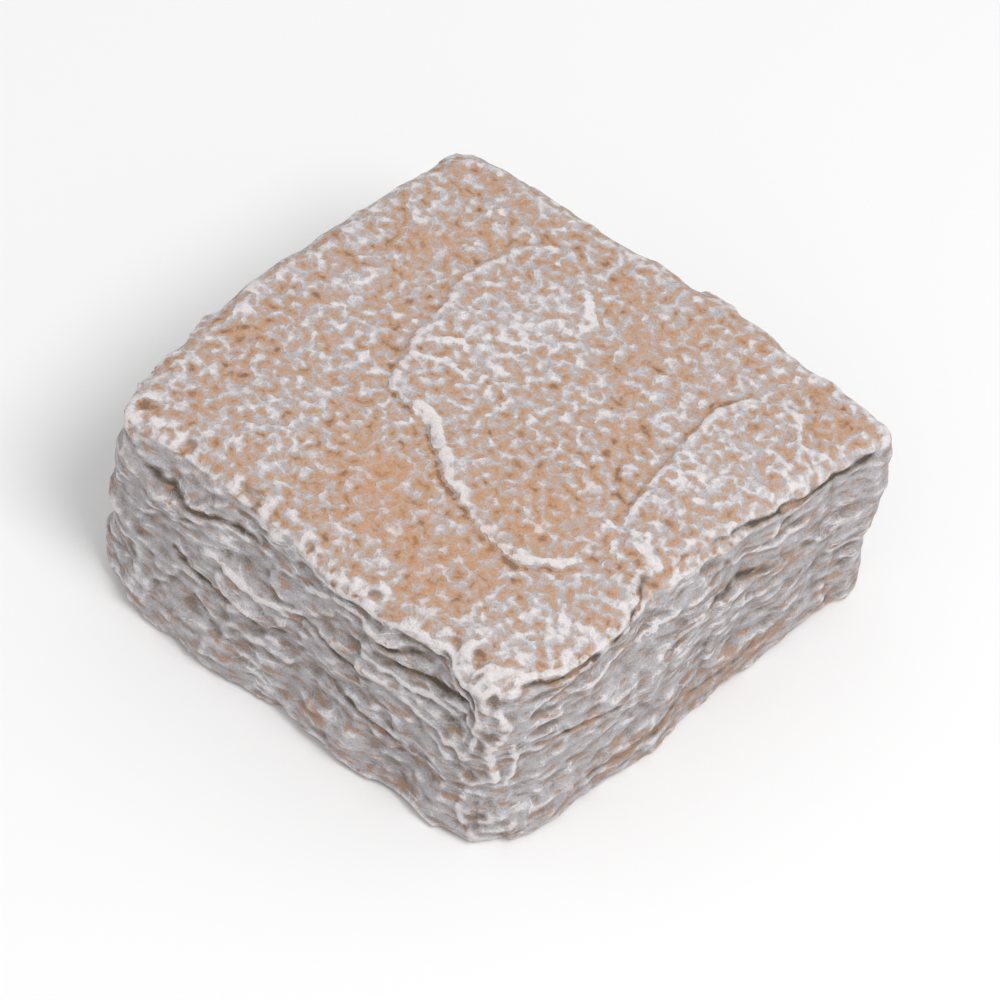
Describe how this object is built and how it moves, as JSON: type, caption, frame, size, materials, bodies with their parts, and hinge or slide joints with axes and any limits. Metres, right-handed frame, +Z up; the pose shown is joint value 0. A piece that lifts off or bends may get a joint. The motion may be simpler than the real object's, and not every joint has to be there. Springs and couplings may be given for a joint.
{
  "type": "limestone paving sett",
  "caption": "Squarish hand-split and tumbled limestone sett with a worn, flaked top and rough bedded sides, laid as paving.",
  "frame": {"origin": "centre of the bed face, under the middle of the stone's outline, on the level ground that it lies on", "axes": "+Z up to the worn top, +X along the front side from its left end to its right, +Y from the front side to the back"},
  "size_m": [0.1168, 0.1156, 0.05],
  "materials": {
    "limestone": "matt, tumbled and weathered; peach and tan ground with pale speckles on the top, grey bedded sides, pale worn edges"
  },
  "bodies": {
    "root": {"limestone_sett": "limestone"}
  },
  "joints": []
}
